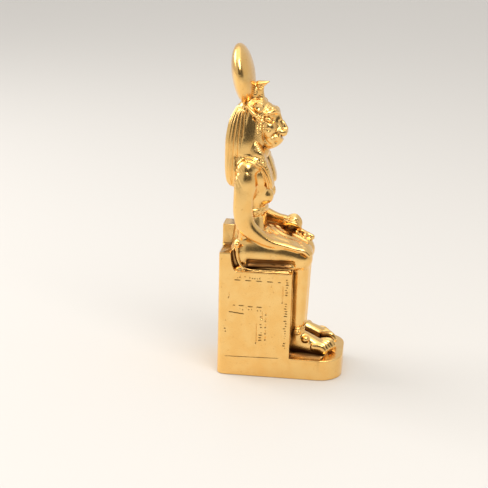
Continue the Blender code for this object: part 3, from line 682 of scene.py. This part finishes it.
def add_wig(bm):
    stack(
        bm,
        (
            (58.0, 3.4, 9.0, 5.8),
            (58.8, 2.5, 9.8, 6.8),
            (60.4, 1.9, 10.4, 7.6),
            (63.6, 1.6, 10.8, 7.9),
            (67.6, 1.5, 12.6, 7.7),
            (71.5, 1.5, 12.9, 7.6),
            (74.4, 1.8, 12.9, 7.1),
            (77.4, 2.4, 12.7, 6.4),
            (80.2, 3.6, 12.7, 5.6),
            (82.0, 4.8, 13.0, 4.9),
            (83.4, 5.8, 13.4, 4.1),
            (84.3, 7.0, 13.2, 3.0),
        ),
        power=3.1,
    )


def add_lappet(bm, side):
    places = [
        at(side * 4.8, 10.4, 70.4),
        at(side * 5.0, 11.8, 67.9),
        at(side * 4.9, 13.7, 64.9),
        at(side * 4.6, 15.1, 61.8),
        at(side * 4.4, 15.8, 59.0),
    ]
    limb(bm, places, [(2.6, 2.3), (2.8, 2.2), (2.9, 1.5), (3.0, 1.2), (2.9, 1.1)], power=3.4)


def add_shoulder(bm, side):
    """The top of the shoulder again, so that the wig runs softly into it."""
    ball(bm, at(side * 8.2, 8.7, 63.2), (2.9, 3.2, 4.2))
    ball(bm, at(side * 7.0, 10.0, 65.4), (2.4, 3.6, 3.0))


def near_shoulder(x, f, z):
    """Where the wig runs softly into the shoulders."""
    return band(np.abs(x), 4.0, 12, 1.5) * band(f, 3.5, 14.5, 1.5) * band(z, 59.5, 69.5, 1.5)


def add_neck(bm):
    limb(bm, [at(0, 10.4, 63.6), at(0, 10.6, 71.6)], [(3.6, 3.3), (3.6, 3.3)])


def add_skull(bm):
    ball(bm, at(0, 11.4, 78.8), (4.9, 5.4, 5.2))
    ball(bm, at(0, 14.0, 72.4), (3.8, 3.7, 3.3))
    stack(
        bm,
        (
            (69.3, 11.0, 15.8, 1.8),
            (70.1, 11.0, 17.2, 2.3),
            (71.2, 11.0, 18.4, 2.5),
            (72.3, 11.0, 19.0, 2.6),
            (73.2, 11.0, 19.2, 2.7),
            (74.4, 11.0, 20.0, 2.8),
            (75.6, 11.0, 20.0, 2.6),
            (77.2, 11.0, 19.1, 2.2),
            (79.2, 11.0, 18.0, 1.9),
            (80.8, 11.0, 17.5, 2.2),
            (82.2, 11.0, 16.2, 2.6),
        ),
    )


def add_cheek(bm, side):
    ball(bm, at(side * 2.5, 14.2, 75.6), (2.3, 2.7, 3.2))


def add_disc(bm):
    """The sun disc: a lens that leans back a little, fuller in front."""
    matrix = Matrix.Translation(DISC_CENTRE) @ Matrix.Rotation(-DISC_LEAN, 4, "X")
    rings = []
    for step in range(25):
        angle = math.pi * (step / 24 - 0.5)
        radius = max(DISC_RADIUS * math.cos(angle), 0.1)
        bulge = DISC_REAR_BULGE if angle > 0 else DISC_FRONT_BULGE
        depth = math.sin(angle) * bulge
        ring = oval(Vector((0, depth, 0)), Vector((1, 0, 0)), Vector((0, 0, 1)), radius, radius)
        rings.append([matrix @ point for point in ring])
    skin(bm, rings)


def add_mane(bm):
    """The ruff of fur round the face, in front of the wig."""
    ball(bm, at(0, 12.0, 75.0), (5.7, 2.0, 7.2))
    ball(bm, at(0, 12.6, 68.2), (4.4, 2.2, 2.6))


def add_snout(bm):
    """The bridge of the nose, and the pads beside its tip."""
    bridge = [at(0, 16.6, 79.2), at(0, 18.2, 77.2), at(0, 19.3, 75.5)]
    limb(bm, bridge, [(1.1, 0.8), (1.1, 0.9), (1.3, 0.9)])
    for side in (-1, 1):
        ball(bm, at(side * 1.45, 17.9, 74.6), (1.6, 2.2, 1.5))


def add_eye(bm, side):
    """The eyeball and the brow over it."""
    ball(bm, at(side * 3.3, 14.5, 78.7), (1.0, 1.3, 0.75))
    brow = [at(side * 0.8, 17.0, 80.5), at(side * 2.5, 16.0, 81.0), at(side * 4.2, 13.5, 80.2)]
    limb(bm, brow, [(0.7, 0.6), (0.8, 0.7), (0.6, 0.5)], Vector((0, 0, 1)))


def add_ear(bm, side):
    ball(bm, at(side * 4.6, 11.7, 82.4), (1.1, 1.75, 1.75))


def add_cobra(bm):
    """The rearing cobra: its stem, its hood, and the web between it and the disc."""
    stem = [at(0, 12.0, 82.6), at(0, 11.6, 84.4), at(0, 11.4, 86.4), at(0, 11.4, 87.8)]
    limb(bm, stem, [(1.5, 1.6), (1.4, 1.25), (1.5, 1.1), (1.7, 1.15)])
    hood = [at(0, 11.1, 88.4), at(0, 12.1, 88.7), at(0, 13.1, 89.1), at(0, 14.0, 89.4)]
    limb(bm, hood, [(1.6, 1.25), (1.4, 0.95), (0.9, 0.55), (0.35, 0.2)])
    ball(bm, at(0, 9.7, 85.2), (1.9, 1.8, 4.3))


def add_ledge(bm, side):
    """The wig's edge stands out from the disc's foot down to the temple."""
    places = [at(side * 4.6, 7.2, 83.0), at(side * 5.9, 9.8, 81.1), at(side * 6.1, 12.2, 78.9)]
    limb(bm, places, [(0.7, 0.5), (0.8, 0.55), (0.6, 0.45)])


def curve_distance(f, z, curve):
    """How far each point is in front of a curve in the side view, negative behind it."""
    best = np.full_like(f, 99.0)
    for (f0, z0), (f1, z1) in zip(curve, curve[1:]):
        length = math.hypot(f1 - f0, z1 - z0)
        along = np.clip(((f - f0) * (f1 - f0) + (z - z0) * (z1 - z0)) / length ** 2, 0, 1)
        away_f = f - f0 - along * (f1 - f0)
        away_z = z - z0 - along * (z1 - z0)
        ahead = np.where(away_z * (f1 - f0) - away_f * (z1 - z0) > 0, 1, -1)
        distance = np.hypot(away_f, away_z) * ahead
        best = np.where(np.abs(distance) < np.abs(best), distance, best)
    return best


def pit(f, z, place, size):
    """A pit in the side view: 1 at its place, and 0 where the squared distance reaches its size."""
    return np.clip(1 - ((f - place[0]) ** 2 + (z - place[1]) ** 2) / size, 0, 1)


def wig_depth(x, f, z):
    """Strands down the wig, the lappets' edges and fine strands, and the braids by the shoulders."""
    angle = np.arctan2(x, WIG_MIDDLE - f)
    front_edge = 6.2 + 0.19 * (z - 67.0)
    on_back = band(front_edge - f, 0, 90, 0.4) * band(z, 57.8, 82.6, 0.8)
    depth = 0.38 * on_back * waves(angle, 2 * math.pi / WIG_STRANDS) ** 1.5
    outside = band(np.abs(x), 3.5, 12)
    arc = curve_distance(f, z, LAPPET_EDGE)
    edge = 0.28 * line(arc - 0.42, 0.26) + 0.26 * line(arc + 0.42, 0.26) - 0.10 * line(arc, 0.3)
    depth += outside * edge
    forward = f - SHOULDER_NOTCH[0]
    up = z - SHOULDER_NOTCH[1]
    notch = np.hypot(forward * 0.88 - up * 0.47, (forward * 0.47 + up * 0.88) / 0.45)
    depth += 0.4 * outside * line(notch, 0.9)
    braid = outside * band(f, 4.8, 8.6, 0.8) * band(z, 57.5, 66.2, 1.0)
    depth += 0.14 * braid * waves(0.5 * z + 0.85 * f, 0.95)
    on_lappet = outside * band(arc, 0.8, 4.5) * band(z, 57, 68.5)
    depth += 0.13 * on_lappet * waves(arc, 0.75)
    depth += 0.08 * on_lappet * waves(0.9 * z - 0.45 * f, 0.85)
    return depth


def fur_depth(x, f, z):
    """The ruff's hair, and the cheek's shorter hair in front of it."""
    side = np.abs(x)
    reach = np.hypot(x, (z - 75.4) * 0.8)
    on_ruff = band(f, 10.9, 14.1) * band(reach, 4.2, 9, 0.4) * band(z, 67.6, 82)
    depth = 0.13 * on_ruff * waves(0.9 * z - 0.5 * f + 0.3 * side, 0.62)
    on_cheek = band(f, 11.4, 14.4, 0.6) * band(z, 75.4, 80.4, 0.8) * band(side, 3.4, 9)
    depth += 0.13 * on_cheek * waves(z + 0.25 * f, 0.85)
    return depth


def face_depth(x, f, z):
    """The mouth and split lip, the pits by them, the eyes' rims, the jaw's crease, the nose's sides."""
    side = np.abs(x)
    mouth = MOUTH[1] - 0.33 * (f - MOUTH[0]) ** 2
    depth = 0.85 * line(z - mouth, 0.75) * band(f, 15.3, 99, 0.6) * (side < 4.4)
    depth += 0.35 * pit(f, z, CHIN_PIT, 0.3) * (side < 4)
    depth += 0.35 * pit(f, z, CHEEK_PIT, 0.36) * (side > 2.5)
    depth += 0.3 * band(f, 18.4, 99) * band(z, 73.2, 74.8) * line(x, 0.35)
    rim = np.hypot((f - EYE[0]) / 1.35, (z - EYE[1] + 0.25 * (f - 14.4)) / 0.8)
    depth += 0.42 * line(rim - 1, 0.3) * band(side, 2.2, 9)
    jaw = np.hypot(f - 17.0, z - 74.6) - 3.9
    crease = 0.28 * line(jaw, 0.55) * band(z, 69.5, 75.0, 1.0)
    depth += crease * band(f, 12.6, 15.8, 0.8) * band(side, 1.5, 9)
    forward = f - NOSE_SIDE[0]
    up = z - NOSE_SIDE[1]
    across_nose = forward * 0.881 + up * 0.472
    along_nose = forward * 0.472 - up * 0.881
    depth += 0.45 * line(across_nose, 0.75) * band(along_nose, -1.9, 1.7, 0.5) * (side < 2.6)
    return depth


def crown_depth(x, f, z):
    """The ears, pits at the temple, the cobra's hood and scales, and the brow's worn lumps."""
    side = np.abs(x)
    ear = ((f - EAR[0]) / 1.1) ** 2 + ((z - EAR[1]) / 1.15) ** 2
    depth = 0.75 * np.clip(1 - ear, 0, 1) * band(side, 4.4, 9)
    temple = ((f - 10.6) / 0.8) ** 2 + ((z - 79.2 + 0.7 * (f - 10.6)) / 0.4) ** 2
    depth += 0.4 * np.clip(1 - temple, 0, 1) * band(side, 4.5, 9)
    hood = ((f - 12.2) / 1.15) ** 2 + ((z - 88.2 - 0.35 * (f - 12.2)) / 0.8) ** 2
    depth += 0.8 * np.clip(1 - hood, 0, 1) ** 0.6 * band(side, 0.35, 9, 0.2)
    scales = waves(z, 0.62) * waves(side + 0.3 * z, 0.7)
    depth += 0.10 * scales * band(z, 83.4, 88) * band(f, 9.5, 13)
    lumps = np.sin(5.1 * f + 3 * x) * np.sin(4.3 * z + 2.2 * x)
    lumps += 0.6 * np.sin(9.3 * f) * np.sin(8.1 * z + 4 * x)
    depth += 0.04 * lumps * band(z, 79.6, 84.2, 0.6) * band(f, 12.8, 99, 0.6)
    return depth


def head_depth(x, f, z, normals):
    """All that is cut into the head, whichever way its faces look."""
    return wig_depth(x, f, z) + fur_depth(x, f, z) + face_depth(x, f, z) + crown_depth(x, f, z)


soft_head = (
    add_wig,
    add_neck,
    add_skull,
    mirrored(add_cheek),
    add_disc,
    mirrored(add_shoulder),
)
crisp_head = (
    add_mane,
    add_snout,
    add_cobra,
    mirrored(add_lappet),
    mirrored(add_eye),
    mirrored(add_ear),
    mirrored(add_ledge),
)
head = clay("head", [(soft_head, 8), (crisp_head, 1.2)], HEAD_VOXEL, near_shoulder)
carve(head, head_depth)

# The casting and its gold finish
# The three shapes are one casting, so they are joined to one closed body that stands for the packed
# solid. Under thin gilding the resin shows a fine grain and small pits. The creases are painted
# browner, as patina and as painted shade, and painted shade darkens the sheltered places.

TRIANGLES = 190000 if FINE else 90000
HEAD_SHARE = 0.42
BODY_SHARE = 0.24
THRONE_SHARE = 0.32
SHELTER_REACH = 9
SHELTER_RAYS = 14 if FINE else 6


def merge(obj, other):
    """Joins another closed mesh to this one, and removes it."""
    boolean = obj.modifiers.new("join", "BOOLEAN")
    boolean.operation = "UNION"
    boolean.solver = "MANIFOLD"
    boolean.object = other
    apply_all(obj)
    bpy.data.objects.remove(other)


def spread(mesh, value, rounds):
    """Values of the points, each averaged with its neighbours' a number of times."""
    ends = np.empty(len(mesh.edges) * 2, np.int32)
    mesh.edges.foreach_get("vertices", ends)
    a, b = ends.reshape(-1, 2).T
    count = len(value)
    neighbours = np.bincount(a, minlength=count) + np.bincount(b, minlength=count)
    for _ in range(rounds):
        value = value + np.bincount(a, value[b], count) + np.bincount(b, value[a], count)
        value = value / (neighbours + 1)
    return value


def thin(obj, triangles, kept=()):
    """Thins the mesh, least where its points are to be kept."""
    now = sum(len(face.vertices) - 2 for face in obj.data.polygons)
    decimate = obj.modifiers.new("thin", "DECIMATE")
    decimate.ratio = min(triangles / now, 1)
    if len(kept):
        group = obj.vertex_groups.new(name="kept")
        group.add([int(index) for index in np.flatnonzero(kept)], 1.0, "REPLACE")
        decimate.vertex_group = group.name
        decimate.invert_vertex_group = True
    apply_all(obj)


near_marks = spread(block.data, np.minimum(marks * 9, 1.0), 5) > 0.03
thin(head, TRIANGLES * HEAD_SHARE)
thin(body, TRIANGLES * BODY_SHARE)
thin(block, TRIANGLES * THRONE_SHARE, near_marks)
statue = head
merge(statue, body)
merge(statue, block)
statue.name = "gilt_statuette"
statue.data.transform(Matrix.Translation((0, LOW.y + FRONT * UNIT, LOW.z)) @ Matrix.Scale(UNIT, 4))
trued = np.clip(places_of(statue.data), LOW, HIGH)
statue.data.vertices.foreach_set("co", trued.ravel())
statue.data.update()
statue.data.shade_smooth()


def hollows(mesh):
    """How much each point curves inward, from about -1 on a ridge to 1 in a crease."""
    points = places_of(mesh)
    normals = normals_of(mesh)
    count = len(points)
    ends = np.empty(len(mesh.edges) * 2, np.int32)
    mesh.edges.foreach_get("vertices", ends)
    a, b = ends.reshape(-1, 2).T
    along = points[b] - points[a]
    along /= np.maximum(np.linalg.norm(along, axis=1), 1e-9)[:, None]
    neighbours = np.bincount(a, minlength=count) + np.bincount(b, minlength=count)
    rise_at_a = np.sum(along * normals[a], 1)
    rise_at_b = np.sum(along * normals[b], 1)
    value = np.bincount(a, rise_at_a, count) - np.bincount(b, rise_at_b, count)
    return value / neighbours


def shelter(mesh, reach, rays):
    """The share of the directions over each point that meet the casting again within a short reach."""
    tree = BVHTree.FromPolygons([v.co for v in mesh.vertices], [p.vertices for p in mesh.polygons])
    rng = np.random.default_rng(2)
    ways = rng.normal(size=(rays, 3))
    ways /= np.linalg.norm(ways, axis=1)[:, None]
    ways = [Vector(way) for way in ways]
    value = np.zeros(len(mesh.vertices))
    for vertex in mesh.vertices:
        normal = vertex.normal
        start = vertex.co + normal * (0.06 * UNIT)
        for way in ways:
            if tree.ray_cast(start, way + normal * 1.02, reach)[0]:
                value[vertex.index] += 1 / rays
    return value


# Painted darkness for the gold's colour: the creases get brown patina and painted shade, and the places
# where the casting closes in on itself get painted shade (closed_in).
bent = hollows(statue.data)
closed_in = spread(statue.data, shelter(statue.data, SHELTER_REACH * UNIT, SHELTER_RAYS), 6)
crease_shade_and_patina = 2.6 * spread(statue.data, bent, 2) + 3.5 * spread(statue.data, bent, 14) - 0.08
across, back, up = places_of(statue.data).T / UNIT
forward = FRONT + LOW.y / UNIT - back
up -= LOW.z / UNIT
# Painted shade and painted reflection: dark bands under the thighs, on the low back's top, on the base
# beside the feet and on the feet's inner sides.
under_thigh = band(forward, 8.4, 24.2, 1.6) * band(up, 33.9, 37.7, 0.5) * (np.abs(across) > 5)
back_top = band(forward, 1.2, 6.2, 0.8) * band(up, 38.4, 40.0, 0.4) * (np.abs(across) > 3.6)
foot_well = band(forward, 23.6, 34.5, 1.5) * band(up, 5.4, 8.6, 0.8) * (np.abs(across) > 5.5)
inner_foot = band(across, 1.0, 3.3, 0.3) * band(forward, 26, 36.5, 1.0) * band(up, 6.6, 11.8, 0.8)
seat_shade = np.maximum(0.8 * under_thigh, 0.42 * back_top)
foot_shade = np.maximum(0.5 * foot_well, 0.6 * inner_foot)
painted_shade_zones = seat_shade + foot_shade
crease_shade_and_patina = np.maximum(crease_shade_and_patina, spread(statue.data, painted_shade_zones, 3))
# The attribute the gold reads: patina and painted shade in the creases, and painted shade in the
# sheltered places and the bands above.
patina_and_shade = np.clip(np.maximum(crease_shade_and_patina, 0) + 1.5 * np.maximum(closed_in - 0.32, 0), 0, 1)
attribute = statue.data.attributes.new("patina_and_shade", "FLOAT", "POINT")
attribute.data.foreach_set("value", patina_and_shade)


class Shade:
    """A shader socket that plain arithmetic works on."""

    def __init__(self, tree, socket):
        self.tree = tree
        self.socket = socket

    def node(self, kind, settings, inputs, output=0):
        """A new node with its inputs set or linked, as one of its outputs."""
        made = self.tree.nodes.new(kind)
        for name, value in settings.items():
            setattr(made, name, value)
        for name, value in inputs.items():
            if isinstance(value, Shade):
                self.tree.links.new(value.socket, made.inputs[name])
            else:
                made.inputs[name].default_value = value
        return Shade(self.tree, made.outputs[output])

    def math(self, operation, first, second):
        return self.node("ShaderNodeMath", {"operation": operation}, {0: first, 1: second})

    def __add__(self, other):
        return self.math("ADD", self, other)

    def __sub__(self, other):
        return self.math("SUBTRACT", self, other)

    def __mul__(self, other):
        return self.math("MULTIPLY", self, other)

    def __radd__(self, other):
        return self.math("ADD", other, self)

    def __rsub__(self, other):
        return self.math("SUBTRACT", other, self)

    def __rmul__(self, other):
        return self.math("MULTIPLY", other, self)

    def step(self, start, end):
        """0 to 1 between two values, smoothly."""
        inputs = {"Value": self, "From Min": start, "From Max": end}
        return self.node("ShaderNodeMapRange", {"interpolation_type": "SMOOTHSTEP"}, inputs)

    def mix(self, first, second):
        """One colour, or the other where this is 1."""
        settings = {"data_type": "RGBA"}
        return self.node("ShaderNodeMix", settings, {0: self, 6: first, 7: second}, 2)


material = bpy.data.materials.new("gold_finish")
material.use_nodes = True
shader = material.node_tree.nodes["Principled BSDF"]
start = Shade(material.node_tree, None)
place = start.node("ShaderNodeTexCoord", {}, {}, "Object")
# depth reads the attribute of patina in the creases and painted shade in the sheltered places.
depth = start.node("ShaderNodeAttribute", {"attribute_name": "patina_and_shade"}, {}, "Fac")


def noise(scale):
    """Soft noise over the statue, finer as its scale grows."""
    return start.node("ShaderNodeTexNoise", {}, {"Vector": place, "Scale": scale, "Detail": 3.0})


wear = noise(260.0)
grain = noise(2600.0)
specks = noise(1500.0).step(0.66, 0.74)
# dark is painted shade plus patina: it turns the gold dark brown in the creases, the sheltered places,
# under the thighs, on the low back's top and beside the feet.
dark = (depth * (0.75 + 0.5 * wear)).step(0.12, 0.85)
gold = wear.step(0.35, 0.65).mix((0.95, 0.61, 0.22, 1), (0.93, 0.56, 0.18, 1))
gold = (specks * 0.45).mix(gold, (0.45, 0.2, 0.05, 1))
colour = (dark * 0.92).mix(gold, (0.13, 0.042, 0.008, 1))
rough = 0.15 + 0.07 * wear + 0.12 * dark + 0.05 * grain
relief = grain * 0.4 + wear * 0.3 - specks * 0.3
bump = start.node("ShaderNodeBump", {}, {"Height": relief, "Strength": 0.35, "Distance": 0.00012})
material.node_tree.links.new(colour.socket, shader.inputs["Base Color"])
material.node_tree.links.new(rough.socket, shader.inputs["Roughness"])
material.node_tree.links.new(bump.socket, shader.inputs["Normal"])
shader.inputs["Metallic"].default_value = 1.0
shader.inputs["Coat Weight"].default_value = 0.12
shader.inputs["Coat Roughness"].default_value = 0.25
statue.data.materials.clear()
statue.data.materials.append(material)
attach(statue, "root")
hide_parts(NODE)

# The studio
# A plain pale floor, a soft bright surround and two large soft lights, as a small shiny thing is
# usually photographed. What the gold mirrors is brighter overhead and dark behind the camera.

bpy.ops.mesh.primitive_plane_add(size=3.0, location=(0, 0, LOW.z - 0.0001))
floor = bpy.context.object
floor.name = "floor"
floor_material = bpy.data.materials.new("pale_floor")
floor_material.use_nodes = True
floor_shader = floor_material.node_tree.nodes["Principled BSDF"]
floor_shader.inputs["Base Color"].default_value = (0.63, 0.61, 0.583, 1)
floor_shader.inputs["Roughness"].default_value = 0.6
floor.data.materials.append(floor_material)

world = bpy.data.worlds.new("studio")
world.use_nodes = True
sky = Shade(world.node_tree, None)
direction = sky.node("ShaderNodeTexCoord", {}, {}, "Generated")
height = sky.node("ShaderNodeSeparateXYZ", {}, {0: direction}, "Z")
behind_camera = (-0.866, -0.5, 0)
dot_product = {"operation": "DOT_PRODUCT"}
towards = sky.node("ShaderNodeVectorMath", dot_product, {0: direction, 1: behind_camera}, "Value")
card = towards.step(0.42, 0.82) * height.step(0.0, 0.10) * height.step(0.80, 0.55)
unseen = 1.0 - sky.node("ShaderNodeLightPath", {}, {}, "Is Camera Ray")
surround = 0.72 - 0.67 * (card * unseen) + 0.9 * (height.step(0.66, 0.92) * unseen)
background = world.node_tree.nodes["Background"]
world.node_tree.links.new(surround.socket, background.inputs["Strength"])
background.inputs["Color"].default_value = (0.95, 0.93, 0.9, 1)
bpy.context.scene.world = world
bpy.context.scene.view_settings.view_transform = "Standard"


def aimed(place, target, roll=0.0):
    """A matrix at a place whose -Z looks at a target, turned about that line by an angle."""
    back = (place - target).normalized()
    side = Vector((0, 0, 1)).cross(back).normalized()
    up = back.cross(side)
    turned_side = side * math.cos(roll) + up * math.sin(roll)
    turned_up = up * math.cos(roll) - side * math.sin(roll)
    turned = Matrix((turned_side, turned_up, back)).transposed()
    return Matrix.Translation(place) @ turned.to_4x4()


def soft_light(name, place, target, size, power, colour):
    """A square area light at a place, aimed at a target."""
    data = bpy.data.lights.new(name, "AREA")
    data.size = size
    data.energy = power
    data.color = colour
    light = bpy.data.objects.new(name, data)
    light.matrix_world = aimed(Vector(place), Vector(target))
    bpy.context.scene.collection.objects.link(light)


soft_light("key", (-0.35, -0.25, 0.55), (0, 0, 0.05), 0.35, 2.2, (1.0, 0.97, 0.92))
soft_light("rim", (0.1, 0.5, 0.4), (0, 0, 0.05), 0.4, 2.2, (1.0, 0.98, 0.96))

# The camera
# It looks at the statue's right side from a little in front and above, turned slightly, as in the
# photograph. The statue stands right of the middle there.

CAMERA_AZIMUTH = math.radians(5.5)
CAMERA_ELEVATION = math.radians(16)
CAMERA_ROLL = math.radians(1.52)
CAMERA_DISTANCE = 0.36778
CAMERA_FOCUS = 1200.0                    # focal length in pixels of the 488-pixel frame
FRAME_PIXELS = 488
STATUE_PIXEL = (268.16, 215.89)          # where the camera's target on the statue shows

camera_data = bpy.data.cameras.new("camera")
camera_data.sensor_width = 36
camera_data.lens = CAMERA_FOCUS / FRAME_PIXELS * camera_data.sensor_width
camera_data.clip_start = 0.01
camera = bpy.data.objects.new("camera", camera_data)
back = Vector((-math.cos(CAMERA_AZIMUTH), -math.sin(CAMERA_AZIMUTH), 0)) * math.cos(CAMERA_ELEVATION)
back.z = math.sin(CAMERA_ELEVATION)
target = Vector((0, LOW.y + (FRONT - 15) * UNIT, LOW.z + 48 * UNIT))
stand = target + back * CAMERA_DISTANCE
straight = aimed(stand, target, CAMERA_ROLL)
per_pixel = CAMERA_DISTANCE / CAMERA_FOCUS
pixels_right = FRAME_PIXELS / 2 - STATUE_PIXEL[0]
pixels_up = STATUE_PIXEL[1] - FRAME_PIXELS / 2
aside = straight.to_3x3() @ Vector((pixels_right, pixels_up, 0))
camera.matrix_world = aimed(stand, target + aside * per_pixel, CAMERA_ROLL)
bpy.context.scene.collection.objects.link(camera)
bpy.context.scene.camera = camera
